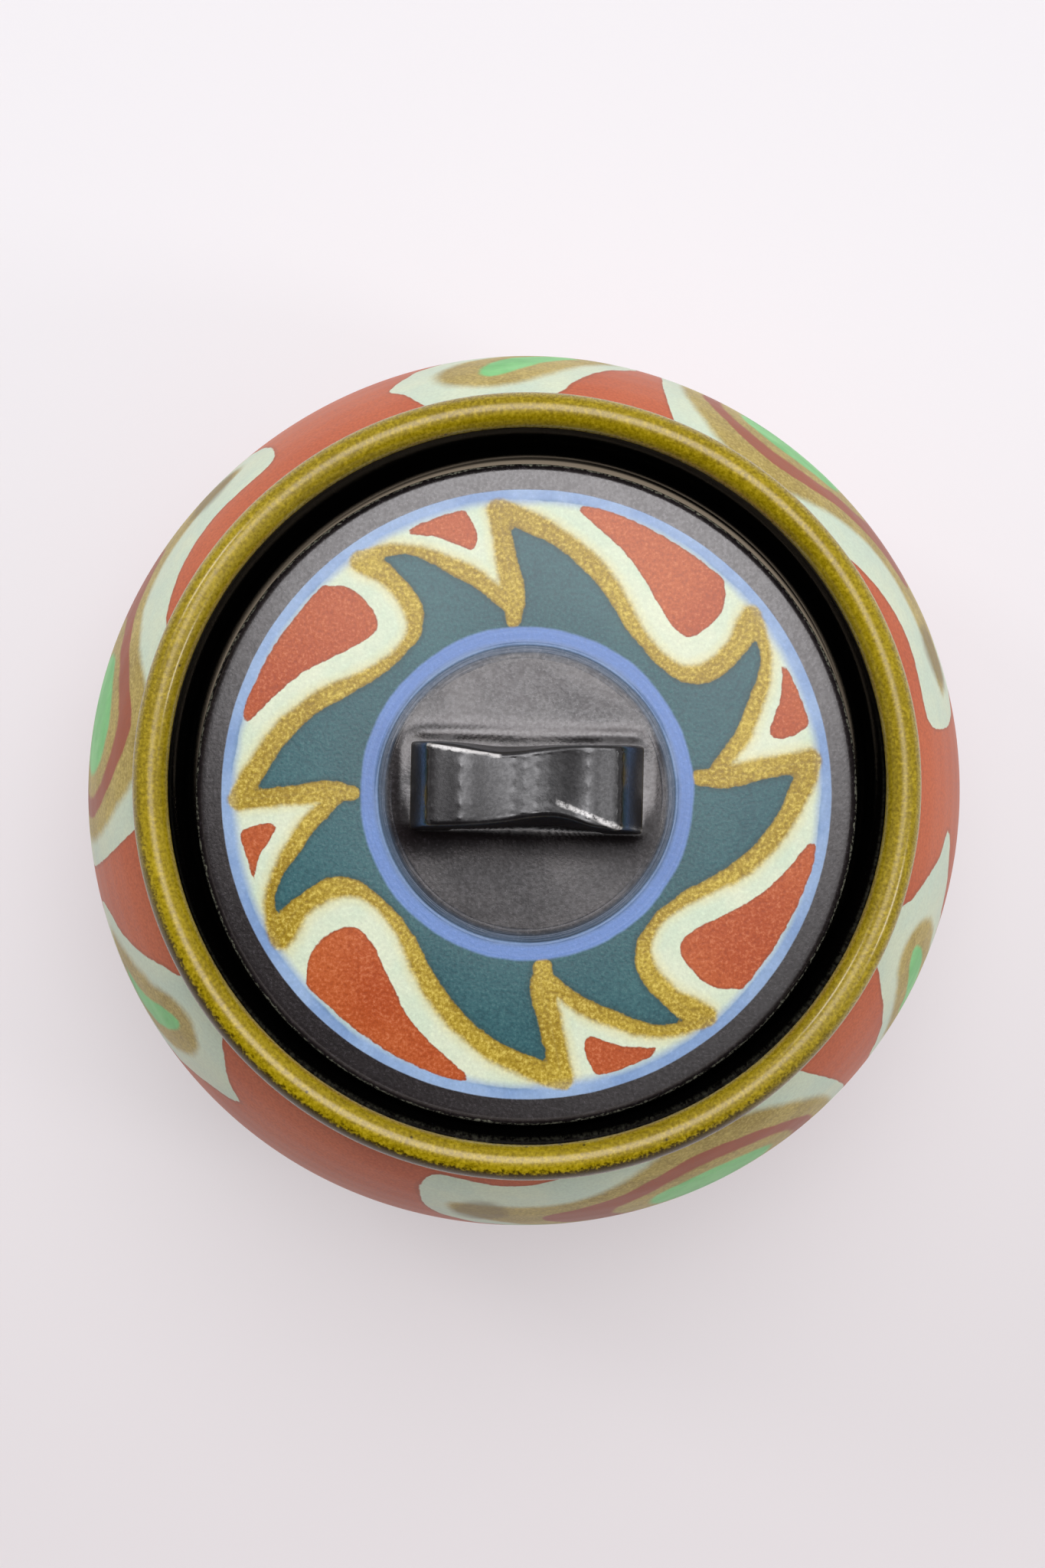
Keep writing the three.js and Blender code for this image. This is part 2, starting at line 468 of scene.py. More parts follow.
# ---- the painting on the belly: one swirl and two leaves, drawn once and painted three times round ----
# (degrees, height in mm)
BELLY_SHAPES = {
    "swirl_mint": [(0, 64), (1.2, 69.4), (6, 69.9), (12, 69.2), (18, 69.8), (24, 71.6), (30, 74.4),
                   (36, 79), (46, 81), (55, 79), (59, 73), (61.8, 67), (63.2, 60), (63.4, 51), (61, 41),
                   (55, 33), (46, 28.5), (36, 29), (27, 34), (19, 41), (10, 48), (2.5, 55)],
    "swirl_tan": [(5.5, 61.6), (13, 62), (21, 62.6), (27.5, 64.6), (33, 68.2), (38, 71.8), (43, 74.2),
                  (48, 74), (53, 71.2), (57, 66), (59.3, 59.5), (59.6, 51.5), (57, 43), (51.5, 36),
                  (44, 32.5), (36, 33.2), (28, 38), (21, 45), (13, 52), (6, 57.5)],
    "swirl_blot": [(5.6, 57), (7.6, 62.6), (11.4, 63.6), (14.4, 60.4), (13.4, 55.4), (9, 53)],
    "swirl_rust": [(20, 57), (26, 60), (32, 63.2), (37, 66.6), (42, 68.8), (47, 68.6), (51.6, 66),
                   (55, 61.5), (56.6, 56), (56, 49), (53, 42.4), (47.5, 37.4), (41, 36.2), (34, 39.2),
                   (27, 45.6), (21, 52)],
    "swirl_heart": [(31, 57), (35, 60.4), (39, 63.6), (44, 65), (48.6, 64), (52.6, 60.6), (54, 55),
                    (53, 48.6), (49.5, 43.2), (44, 40.4), (38.5, 42), (33.5, 46.6), (30.5, 52)],
    "swirl_green": [(36, 58), (40, 60.6), (45, 61.4), (49.4, 59.6), (51.2, 55.4), (50, 50), (46.5, 46.2),
                    (42, 44.8), (38, 47), (35.5, 52)],
    "leaf_mint": [(69, 53), (73.5, 62), (76.4, 68.4), (79, 73.4), (84, 77.6), (91, 77.6), (96, 73),
                  (99, 68), (101.4, 64.6), (98, 60), (93, 53), (87, 47.5), (79, 45), (72, 47)],
    "leaf_tan": [(73, 55), (76.5, 62), (80, 67.4), (84, 70.6), (89, 70.8), (92.8, 68), (93.4, 63.4),
                 (90.4, 57.4), (85, 52), (78.6, 49.4), (74, 50.6)],
    "leaf_green": [(76.5, 54.5), (80, 60), (83.6, 65.4), (86.6, 67.6), (88.2, 66), (87, 61), (83.6, 55.6),
                   (79, 52.4)],
    "low_mint": [(78, 24), (84, 33), (92, 39.6), (102, 42), (110, 39), (108, 32), (100, 25), (90, 20.5),
                 (82, 20)],
    "low_tan": [(82.6, 25), (88, 31.6), (95, 36.4), (102.6, 37.8), (105.6, 35.4), (103, 30), (96, 25.2),
                (88, 23)],
}
# painted by eye, no repeat quite matches the next: places round the drawing, and for each of the three
# repeats where that place was painted (degrees) and how much lower than drawn (mm)
DRAWN = [0, 28.6, 44.3, 58.8, 63.4, 71.2, 79.2, 95.3, 101.4]
PAINTED = [
    [(8, -0.6), (36.5, -0.6), (53, -1.3), (68, -0.5), (71.5, 0), (76.5, 0), (86, 0), (104.5, 0), (109, 0)],
    [(126.7, 2.7), (155, 0.8), (171, -4), (186, -1.5), (190, 0), (196.5, 0), (208, 0.8), (220, 0.8),
     (227.5, 1)],
    [(255.2, -3.8), (280, -3.4), (296, -2.2), (314, -0.5), (317, 0), (324, 1.5), (331.5, 2.6), (343.5, 2.6),
     (354.5, 2.6)]]
REPEAT = 120  # degrees
DEGREE = math.radians(1) * 61  # mm along the belly for a degree
RIM_SHADE_AT = 252  # degrees: the side of the rim facing away from the light, where its outer side gets painted shade


def up_belly(height):
    """How far up the painted surface a height lies, in mm from the widest place."""
    heights = BELLY[:, 1]
    far = walked_along(BELLY)
    steepness = (far[-1] - far[-6]) / (heights[-1] - heights[-6])
    above = np.maximum(np.asarray(height, float) - heights[-1], 0)
    return np.interp(height, heights, far) - np.interp(BELLY_AT, heights, far) + above * steepness


def paint_belly(mesh, spots, walk, angle):
    """Notes how far each vertex lies from every painted shape."""
    first, first_lowered = PAINTED[0][0]
    painted_at = [place for repeat in PAINTED for place, _ in repeat] + [first + 360]
    lowered = [drop for repeat in PAINTED for _, drop in repeat] + [first_lowered]
    drawn_at = [place + REPEAT * number for number in range(3) for place in DRAWN] + [360]
    painted = (walk > FOOT_END - 3) & (walk < COLLAR_END + 2)
    round_pot = (angle[painted] - first) % 360 + first
    along = np.interp(round_pot, painted_at, drawn_at) % REPEAT
    up = up_belly(spots[painted, 2]) + np.interp(round_pot, painted_at, lowered)
    for name, shape in BELLY_SHAPES.items():
        outline = through([(degrees * DEGREE, float(up_belly(height))) for degrees, height in shape], 5)
        off = np.full(len(walk), FAR_OFF)
        off[painted] = np.min([off_outline(np.column_stack([(along + shift) * DEGREE, up]), outline)
                               for shift in (-REPEAT, 0, REPEAT)], axis=0)
        note(mesh, name, np.clip(off, -FAR_OFF, FAR_OFF))


def belly_painting(f, cloud):
    """Rust ground, mint shapes with tan bands in them, and green hearts."""
    wash = f.grain(5, 3.0, 0.6)
    rust = f.mottled(cloud, "b8512a", "c46038")
    rust = f.flecked(rust, 0.3, "cc7850")
    rust = f.pitted(rust, 0.25, "98401f")
    tan = f.mottled(wash, "a08a3c", "bba656")
    tan = f.mix(f.step(f.ragged, 0.45, 0.75) * 0.4, tan, paint("8a722c"))
    tan = f.flecked(tan, 0.45, "d6c47e")
    tan = f.pitted(tan, 0.3, "7c6522")
    dark_rust = f.mix(wash, paint("8f4428"), paint("a6563a"))

    mint = f.inside("swirl_mint", 0.12, 0.5).most(f.inside("leaf_mint", 0.12, 0.5))
    mint = mint.most(f.inside("low_mint", 0.12, 0.5))
    off_mint = f.read("swirl_mint").least(f.read("leaf_mint"))
    off_mint = off_mint + (f.wander - 0.5) * 0.5 + (f.ragged - 0.5) * 0.5
    bands = f.inside("swirl_tan", 1.1, 0.9, 1.0).most(f.inside("leaf_tan", 1.2, 0.9, 1.0))
    bands = bands.most(f.inside("low_tan", 1.1, 0.9, 1.0))
    hearts = f.inside("swirl_green", 0.6, 0.6).most(f.inside("leaf_green", 0.5, 0.6))

    painting = f.mix((1 - f.step(off_mint, 0.1, 0.8)) * 0.35, rust, paint("7a3c26"))
    painting = f.mix(mint, painting, f.mottled(wash, "cadbc6", "d8e2c6"))
    painting = f.mix(bands, painting, tan)
    painting = f.mix(f.inside("swirl_blot", 1.4, 1.0, 1.0) * 0.6, painting, paint("6c5a30"))
    painting = f.mix(f.inside("swirl_rust", 0.3, 0.6), painting, dark_rust)
    painting = f.mix(f.inside("swirl_heart", 0.5, 0.6), painting, tan)
    painting = f.mix(hearts, painting, f.mottled(wash, "66be6a", "8ad688"))
    return f.shade(painting, 0.84 + f.speck * 0.32)


def pinholes(f, crowd):
    """Tiny pits in a few cells of a fine pattern, and in more of them where crowd is high."""
    cells = {"Vector": f.at, "Scale": 620.0}
    off_pit = f.node("ShaderNodeTexVoronoi", {"feature": "F1"}, cells)
    chance = f.node("ShaderNodeTexVoronoi", {"feature": "F1"}, cells, "Color")
    chance = f.node("ShaderNodeSeparateColor", {}, {0: chance}, 0)
    return (1 - f.step(off_pit, 0.08, 0.2)) * f.step(chance + crowd, 0.95, 0.97)


def olive_glaze(f, walked, cloud):
    """The rim's glaze: mottled, with painted shade on its outer side towards the side away from the light,
    and a pale line at its lower edge that is partly thin glaze and partly a painted grazing highlight.
    """
    olive = f.mottled(cloud, "8c7803", "9f8a06")
    olive = f.flecked(olive, 0.6, "c6ad28", 0.48, 0.72)
    olive = f.pitted(olive, 0.5, "5e4c04")
    olive = f.mix(f.step(f.ragged, 0.5, 0.75) * 0.35, olive, paint("6a5706"))
    into_well = f.step(walked + f.ragged * 1.2, BEAD_END - 3.4, BEAD_END - 0.6)
    olive = f.mix(into_well * 0.3, olive, paint("6d5b04"))
    up_bead = walked - COLLAR_END + (f.speck - 0.5) * 2.2 + (f.ragged - 0.5)
    # painted shade: the rim's outer side is darkened on the side away from the light
    rim_shade = f.band(up_bead, 2.3, 2.7, 4.0, 4.9) * f.read("rim_shade")
    olive = f.mix(rim_shade * 0.92, olive, paint("2a1b05"))
    # a pale line at the rim's lower edge: partly thin glaze, partly a painted grazing highlight
    thin = 1 - f.step(walked + (f.speck - 0.5) * 0.3, COLLAR_END + 2.3, COLLAR_END + 2.6)
    olive = f.mix(thin * 0.75, olive, paint("b29a70"))
    pits = pinholes(f, f.step(walked, BEAD_END - 3.0, BEAD_END - 0.3) * 0.3)
    return f.mix(pits * 0.85, olive, paint("1d1606"))


def well_glaze(f, walked):
    """Black, with a faint painted sheen line under the rim."""
    walked = walked + (f.ragged - 0.5) * 0.5
    # painted sheen: the glossy black catches light just under the rim
    sheen_line = f.band(walked, BEAD_END + 0.6, BEAD_END + 1.0, BEAD_END + 1.5, BEAD_END + 2.1)
    return f.mix(sheen_line * 0.35, paint("030303"), paint("25241f"))


def pot_glazes():
    """From the foot up: bare clay, painted belly, dark collar, olive rim, and the black well and hollow."""
    f = Glaze("pot_glazes", IOR=1.5, Coat_Roughness=0.12, Specular_Tint=(1.0, 0.82, 0.6, 1))
    walked = f.read("walk")
    cloud = f.grain(14, 3.0, 0.55)
    clay = f.mix(f.step(f.ragged, 0.66, 0.74), f.clay(), paint("6e4a33"))

    slow, quick = f.wander - 0.5, f.ragged - 0.5
    belly_line = f.step(walked + slow * 1.6, FOOT_END + 0.6, FOOT_END + 1.0)
    collar_line = f.step(walked + slow * 0.5, BELLY_END - 0.5, BELLY_END - 0.1)
    rim_line = f.step(walked + slow * 0.3, COLLAR_END - 0.5, COLLAR_END + 0.3)
    well_line = f.step(walked + slow * 0.4 + quick * 0.5, BEAD_END - 0.45, BEAD_END - 0.15)

    colour = f.mix(belly_line, clay, belly_painting(f, cloud))
    colour = f.mix(collar_line, colour, paint("1b140c"))
    colour = f.mix(rim_line, colour, olive_glaze(f, walked, cloud))
    colour = f.mix(well_line, colour, well_glaze(f, walked))
    roughness = belly_line * (0.38 + f.speck * 0.14 - 0.85) + 0.85
    roughness = roughness + collar_line * (0.22 + f.speck * 0.12 - roughness)
    roughness = roughness + well_line * (0.08 - roughness)
    f.feed(Base_Color=colour, Roughness=roughness, Coat_Weight=rim_line * (1 - well_line) * 0.3,
           Normal=f.bump((f.speck * 0.6 + f.ragged * 0.4) * (1 - well_line), 0.03))
    return f


def make_pot():
    mesh = turned(joined(*POT_STRETCHES), 330, "glazed_pot")
    spots, walk = places(mesh), numbers(mesh, "walk")
    angle, reach = round_and_out(spots)
    out_of_true(spots, walk, angle, reach)
    paint_belly(mesh, spots, walk, angle)
    # how much painted shade the rim gets, most on the side away from the light
    note(mesh, "rim_shade", ramp(np.cos(np.radians(angle - RIM_SHADE_AT)), 0.25, 0.45))
    settle(mesh, spots)
    piece("glazed_pot", mesh, pot_glazes(), "jar", "pot")


make_pot()


# ======== the lid ========

LID_EDGE = SEAT + 5  # top of the plate at its edge
CROWN_RISE = 1.55
LIP = 1.1  # rounding of the plate's edge
LIP_AT = LID_EDGE - LIP
PAD_FOOT, PAD_RADIUS = 21.8, 19.6  # where the pad's soft step starts and ends
PAD_DOME = 0.276  # the pad's middle stands this far above its edge
RING_RADIUS = 41.9  # locating ring underneath


def lid_stretches():
    """The lid's profile, from the middle of its underside to the middle of its pad."""
    ring = eased([(0, 74, 0), (37.6, 73.4, 1.4), (38.7, LID_FOOT, 0.8), (RING_RADIUS, LID_FOOT, 0.8),
                  (RING_RADIUS, SEAT, 0.8), (LID_RADIUS, SEAT, 0.9), (LID_RADIUS, LIP_AT, 0)])
    lip = arc((LID_RADIUS - LIP, LIP_AT), (LIP, LIP), 0, 90, 16)
    inward = np.linspace(0, 1, 16)
    crown = np.column_stack([(LID_RADIUS - LIP) * (1 - inward) + PAD_FOOT * inward,
                             LID_EDGE + CROWN_RISE * np.sin(inward * math.pi / 2)])
    crown_top, pad_edge = LID_EDGE + CROWN_RISE, PAD_TOP - PAD_DOME
    pad_step = eased([(PAD_FOOT, crown_top, 0), (20.9, crown_top + 0.02, 0.8), (20.2, pad_edge - 0.024, 0.7),
                      (PAD_RADIUS, pad_edge, 0)])
    dome = [(PAD_RADIUS * out, PAD_TOP - PAD_DOME * out ** 2) for out in np.linspace(1, 0, 14)]
    return [(ring, 1.0), (lip, 0.4), (crown, 0.5), (pad_step, 0.4), (dome, 0.6)]


LID_STRETCHES = lid_stretches()
RING_END, LIP_END = stretch_ends(LID_STRETCHES)[:2]
SEAT_END = RING_END - (LIP_AT - SEAT) - 0.6  # the underside is bare clay as far as this

# one repeat of the star: strokes are (degrees, radius, half width), shapes are (degrees, radius)
LIMB = [(0.5, 40.6, 1.75), (0.3, 38.6, 1.65), (0.0, 35.5, 1.6), (-0.5, 32, 1.65), (-1.3, 29.3, 1.75),
        (-1.7, 27.2, 1.6), (-1.4, 25.6, 1.25), (-1.2, 24.6, 1.15)]
SLANT = [(-1.0, 26.8, 1.4), (3.6, 28.8, 1.3), (8.6, 31.6, 1.35), (13.6, 34.0, 1.25), (18.6, 36.9, 1.05),
         (23.6, 39.2, 0.9), (28.5, 40.3, 1.1), (31.5, 40.7, 1.4)]
SWEEP = [(32.2, 40.6, 1.7), (31.2, 39.3, 1.85), (29.6, 37.4, 1.7), (28.6, 35.5, 1.5), (27.9, 33, 1.55),
         (27.9, 31, 1.6), (28.9, 29.5, 1.5), (31.4, 27.9, 1.25), (35.8, 27.1, 1.0), (40.6, 26.9, 1.0),
         (46.6, 27.4, 1.05), (51.6, 28.2, 1.2), (57.6, 30.0, 1.35), (63.6, 32.2, 1.45), (70.6, 34.6, 1.45),
         (77.6, 36.8, 1.5), (83.6, 38.5, 1.6), (88.0, 40.0, 1.75), (90.4, 40.6, 1.75)]
LID_SHAPES = {
    "wedge_mint": [(0.8, 41.9), (0.2, 37), (-0.1, 33), (0.6, 30), (2.6, 28.6), (8.6, 31.5), (13.6, 33.9),
                   (18.6, 36.8), (23.6, 39.3), (30, 41.2), (27, 41.9), (14, 42)],
    "drop_mint": [(33.5, 41.9), (30.6, 39), (29, 36), (28, 33), (28.2, 30.6), (31, 28.2), (36, 27.1),
                  (46.6, 27.5), (57.6, 29.9), (70.6, 34.5), (83.6, 38.6), (89.6, 41), (86, 41.9),
                  (60, 42.2)],
    "wedge_rust": [(7.0, 40.7), (8.6, 41.2), (13, 41.15), (18.6, 41.05), (20.2, 40.4), (18, 39.6),
                   (14, 38.2), (10.5, 36.4), (7.8, 35.4), (6.2, 36.1), (5.8, 37.8), (6.4, 39.4)],
    "drop_rust": [(40.2, 40.5), (42.2, 41.3), (50, 41.2), (59, 41.4), (68, 41.7), (72.8, 41.6),
                  (73.8, 40.9), (71.6, 39.8), (66, 38), (60, 36.2), (53, 33.8), (46.4, 31.9), (42, 31.3),
                  (39, 31.5), (37.3, 32.5), (36.6, 34.2), (36.6, 36.6), (37.8, 38.8)],
}
# where the four repeats were really painted, beside where an even quarter would put them
LIMBS = [6.4, 34.2, 95.5, 121.7, 181.0, 205.7, 276.8, 304.6, 366.4]
QUARTERS = [0, 28, 90, 118, 180, 208, 270, 298, 360]
# the two near drops were painted closer to the middle: where (degrees) and by how much (mm)
DEEPER_AT = [200, 225, 262, 285, 318, 348]
DEEPER = [0, 1.2, 0.2, 0, 1.2, 0]
SMALL_WEDGE_AT = -165  # degrees: one wedge came out small
STROKE_APART = 40  # mm, so that the brush marks of one stroke don't run on in the next


def flat(degrees, radius):
    """Places on the lid, seen from above."""
    return np.column_stack([radius * np.cos(np.radians(degrees)), radius * np.sin(np.radians(degrees))])


def paint_lid(mesh, walk, angle, reach):
    """Notes how far each vertex lies from every painted shape and from the nearest brush stroke."""
    top = walk > LIP_END - 1
    round_lid = np.interp((angle[top] - LIMBS[0]) % 360 + LIMBS[0], LIMBS, QUARTERS) % 90
    deeper = np.interp(angle[top] % 360, DEEPER_AT, DEEPER) * (1 - ramp(reach[top], 33, 9))
    repeats = [flat(round_lid + shift, reach[top] + deeper) for shift in (-90, 0, 90)]
    for name, shape in LID_SHAPES.items():
        outline = through(flat(*np.array(shape, float).T), 5)
        off = np.full(len(walk), FAR_OFF)
        off[top] = np.min([off_outline(spots, outline) for spots in repeats], axis=0)
        if name == "wedge_rust":
            off += 0.55 * np.exp(-((angle - SMALL_WEDGE_AT) / 9) ** 2)
        note(mesh, name, np.clip(off, -FAR_OFF, FAR_OFF))

    count = np.count_nonzero(top)
    nearest = {"stroke": np.full(count, FAR_OFF), "stroke_along": np.zeros(count),
               "stroke_across": np.zeros(count)}
    for number, stroke in enumerate((LIMB, SLANT, SWEEP)):
        degrees, radius, half = np.array(stroke, float).T
        line = through(np.column_stack([flat(degrees, radius), half]), 4, closed=False)
        for spots in repeats:
            off, along, across = off_stroke(spots, line)
            nearer = off < nearest["stroke"]
            for kept, found in zip(nearest.values(), (off, along + STROKE_APART * number, across)):
                kept[nearer] = found[nearer]
    for name, found in nearest.items():
        everywhere = np.full(len(walk), FAR_OFF if name == "stroke" else 0.0)
        everywhere[top] = found
        note(mesh, name, everywhere)


HANDLE_ROUND = 1.6  # rounding of the handle's foot, seen from above


def off_handle(spots):
    """How far each vertex lies outside the handle's foot, and where along and across the handle."""
    along, across = swung(spots[:, 0], spots[:, 1] - HANDLE_OFF, -HANDLE_TURN)
    past_end = np.maximum(np.abs(along) - (HANDLE_HALF - HANDLE_ROUND), 0)
    past_side = np.maximum(np.abs(across) - (HANDLE_HALF_WIDTH - HANDLE_ROUND), 0)
    return np.hypot(past_end, past_side) - HANDLE_ROUND, along, across


def slip_ridge(off, along, across):
    """How high the slip stands that was smoothed round the handle: a fillet, and a ridge on three sides."""
    beyond = np.maximum(off, 0)
    uneven = 1 + 0.4 * np.sin(0.31 * along + 1.1) * np.cos(0.23 * across)
    at_front = np.clip(-across / HANDLE_HALF_WIDTH, 0, 1)
    at_ends = ramp(np.abs(along), HANDLE_HALF - 2, 2)
    crest = 0.34 * uneven * (1 - 0.95 * at_front) * (1 - 0.45 * at_ends)
    fillet = 0.3 + 0.5 * at_front
    return crest * np.exp(-((beyond - 1.3) / 0.95) ** 2) + fillet * np.exp(-beyond / 1.6)


def teal_glaze(f, cloud, wash):
    teal = f.mottled(cloud, "24525a", "326066")
    teal = f.mix(f.step(wash, 0.5, 0.85) * 0.3, teal, paint("4a7672"))
    teal = f.flecked(teal, 0.4, "44706f", 0.4, 0.7)
    return f.pitted(teal, 0.3, "1a3f45")


def tan_glaze(f, wash):
    """Grainy ochre with the streaks of the brush along each stroke."""
    brushed = f.node("ShaderNodeCombineXYZ", {}, {
        0: f.read("stroke_along") * (0.012 * MM), 1: f.read("stroke_across") * MM, 2: 0.0})
    tan = f.mottled(wash, "9e8118", "b3982c")
    tan = f.flecked(tan, 0.65, "dac45e", 0.45, 0.72)
    tan = f.pitted(tan, 0.55, "7c600c")
    tan = f.mix(f.step(f.ragged, 0.55, 0.8) * 0.35, tan, paint("8a6e16"))
    return f.mix(f.step(f.noise(brushed, 1700.0), 0.5, 0.8) * 0.35, tan, paint("8a7440"))


def rust_islands(f, cloud):
    """The rust in the wedges and drops, darker at its edges."""
    rust = f.mottled(cloud, "ac4a1e", "b85a2a")
    rust = f.flecked(rust, 0.4, "d0845a")
    rust = f.pitted(rust, 0.4, "923c1a")
    off_rust = f.read("wedge_rust").least(f.read("drop_rust")) + (f.ragged - 0.5) * 0.5
    return f.mix(f.step(off_rust, -0.35, -0.05) * 0.5, rust, paint("7d3a24"))


def star_painting(f, reach, cloud, wash):
    """The star: teal ground, mint shapes, tan strokes over both, a sky blue line round it, and rust."""
    mint = f.inside("wedge_mint", 0.15, 0.3).most(f.inside("drop_mint", 0.15, 0.3))
    islands = f.inside("wedge_rust", 0.1, 0.55, 0.4).most(f.inside("drop_rust", 0.1, 0.55, 0.4))
    stroke = f.read("stroke") + (f.wander - 0.5) * 0.8 + (f.ragged - 0.5) * 0.6

    star = f.mix(mint, teal_glaze(f, cloud, wash), f.mottled(wash, "c8d8bf", "d8dfc4"))
    star = f.mix((1 - f.step(stroke, -0.2, 1.6)) * 0.5 * mint, star, paint("dcd29a"))
    star = f.mix((1 - f.step(stroke, 0.0, 0.9)) * (1 - mint) * 0.5, star, paint("1f3c3d"))
    tan = f.mix(f.step(stroke, -0.5, 0.0) * (1 - mint) * 0.6, tan_glaze(f, wash), paint("6a5514"))
    crisp = 1 - f.step(stroke, -0.12, 0.12)
    soft = 1 - f.step(stroke, -0.65, 0.4)
    star = f.mix(crisp + mint * (soft - crisp), star, tan)

    sky = f.step(reach + (f.wander - 0.5) * 0.5 + (wash - 0.5) * 1.2, 40.3, 42.2)
    sky = sky * (1 - (1 - f.step(stroke, -0.5, 0.1)) * 0.85)
    star = f.mix(sky, star, f.mottled(wash, "7b98c2", "94aed0"))
    return f.mix(islands, star, rust_islands(f, cloud))


def lid_glazes():
    """From the middle out: charcoal pad, smoky wash, bright ring, star, charcoal band and bare clay."""
    f = Glaze("lid_glazes", 0.7, IOR=1.38, Coat_Roughness=0.2, Specular_Tint=(1.0, 0.93, 0.9, 1))
    walked, reach, by_handle = f.read("walk"), f.read("reach"), f.read("by_handle")
    cloud = f.grain(11, 3.0, 0.55)
    wash = f.grain(4.5, 3.0, 0.6)
    on_wheel = f.node("ShaderNodeCombineXYZ", {}, {0: reach * MM, 1: cloud * 0.0006, 2: 0.0})
    wheel_brush = f.noise(on_wheel, 1500.0)
    brushed = f.step(wheel_brush, 0.2, 0.8)

    out = reach + (f.wander - 0.5) * 0.35
    wash_line = f.step(out + (wheel_brush - 0.5) * 1.6 + (cloud - 0.5) * 2.4, 19.0, 21.6)
    ring_line = f.step(out + (wheel_brush - 0.5) * 0.8, 20.9, 22.1)
    star_line = f.step(out + (wash - 0.5) * 0.6, 23.3, 23.8)
    band_line = f.step(reach + (f.wander - 0.5) * 0.15, 43.05, 43.25)
    charcoal = f.flecked(f.mottled(cloud, "161213", "211c1d"), 0.4, "443e44", 0.5, 0.8)
    colour = f.mix(wash_line, charcoal, f.mix(brushed, paint("42566c"), paint("748ba8")))
    colour = f.mix(ring_line, colour, f.mix(brushed, paint("5577b4"), paint("7594c8")))
    colour = f.mix(star_line, colour, star_painting(f, reach, cloud, wash))
    colour = f.mix(band_line, colour, charcoal)
    colour = f.shade(colour, 0.82 + f.speck * 0.36)
    # painted shade: darker round the handle's foot, in the crease where it meets the lid
    foot_shade = 1 - f.step(by_handle + (f.ragged - 0.5) * 0.4, 0.2, 1.6)
    colour = f.mix(foot_shade * 0.8, colour, paint("171313"))

    # the glaze breaks to a thin pale line round the lid's edge, and the seat under it is bare clay
    broken = 1 - f.step(walked + (f.wander - 0.5) * 0.8 + (f.ragged - 0.5), RING_END + 0.3, RING_END + 0.6)
    broken = broken * f.step(walked, RING_END - 0.6, RING_END) * f.step(f.speck, 0.4, 0.6)
    colour = f.mix(broken * 0.75, colour, paint("9c9d8a"))
    bare = 1 - f.step(walked + (f.wander - 0.5) * 0.6, SEAT_END - 0.2, SEAT_END + 0.1)
    colour = f.mix(bare, colour, f.clay())

    dark_glaze = (1 - wash_line) + band_line
    roughness = 0.19 + f.speck * 0.13 - (1 - f.step(by_handle, 0.5, 3.0)) * 0.16
    roughness = roughness + bare * (0.85 - roughness)
    gloss = f.step(f.speck * 0.7 + f.ragged * 0.3, 0.36, 0.62)  # broken up by fine grain
    fine = f.bump((f.speck * 0.6 + f.ragged * 0.4) * (0.5 + dark_glaze * 0.25), 0.07)
    swell = f.grain(9, 1.5, 0.45) * (1 - wash_line) * (1 - bare)
    f.feed(Base_Color=colour, Roughness=roughness,
           Coat_Weight=dark_glaze * (1 - bare) * (0.58 + gloss * 0.4), Normal=f.bump(swell, 1.9, fine))
    return f


def make_lid():
    mesh = turned(joined(*LID_STRETCHES), 420, "painted_lid")
    spots, walk = places(mesh), numbers(mesh, "walk")
    angle, reach = round_and_out(spots)
    paint_lid(mesh, walk, angle, reach)
    off, along, across = off_handle(spots)
    on_top = walk > LIP_END
    note(mesh, "reach", reach)
    note(mesh, "by_handle", np.where(on_top, off, FAR_OFF))
    warp = 0.05 * np.sin(2 * np.radians(angle) + 1) * reach / LID_RADIUS
    spots[:, 2] += on_top * slip_ridge(off, along, across) + (walk > RING_END) * warp
    spots[:, 1] += LID_Y
    settle(mesh, spots)
    piece("painted_lid", mesh, lid_glazes(), "lid", "lid")


make_lid()


# ======== the bridge handle ========

HANDLE_LEAN = 0.5  # its top leans this far to the left

# stations along the strap: outer side, then the side of the finger gap, in mm from the pad
OUTER = [(16.6, -0.3), (15.9, 3.4), (15.2, 6.8), (14.4, 10.0), (13.6, 12.3), (12.9, 12.98), (11.9, 13.14),
         (10.4, 13.36), (8.8, 13.66), (7.2, 13.42), (5.4, 13.02), (3.4, 12.68), (1.6, 12.5), (0.0, 12.66)]
INNER = [(10.4, -0.3), (10.3, 1.6), (10.1, 3.2), (9.8, 4.6), (9.3, 5.6), (8.6, 6.4), (7.8, 6.9), (6.8, 7.15),
         (5.8, 7.3), (4.8, 7.38), (3.6, 7.4), (2.4, 7.4), (1.2, 7.4), (0.0, 7.4)]


def mirrored(half):
    return [(-x, z) for x, z in half] + [(x, z) for x, z in reversed(half[:-1])]


def half_width(along, up, side):
    """Half the strap's width on the far side (1) or the near side (-1).

    It tapers upwards. A thumb and a finger pinched it, each a little past the middle, with a twist.
    """
    height = max(up, 0) / HANDLE_RISE
    depth, centre, steep, gentle = (1.6, -3.4, 4.4, 6.4) if side > 0 else (2.1, 3.8, 4.2, 7.2)
    off = (along - centre) * side
    hollow = depth * math.exp(-((off / (steep if off < 0 else gentle)) ** 2)) * height ** 2.4
    return HANDLE_HALF_WIDTH - 0.5 * height - hollow


def fold(along, across):
    """The pinch drew the left edges of the top down and left a raised fold at the near right."""
    if along < 0:
        lift = -0.25
    else:
        lift = 0.15 if across > 0 else 0.45
    return lift * math.exp(-(((abs(along) - 7.5) / 3.8) ** 2)) * abs(across) ** (8 if across > 0 else 5)


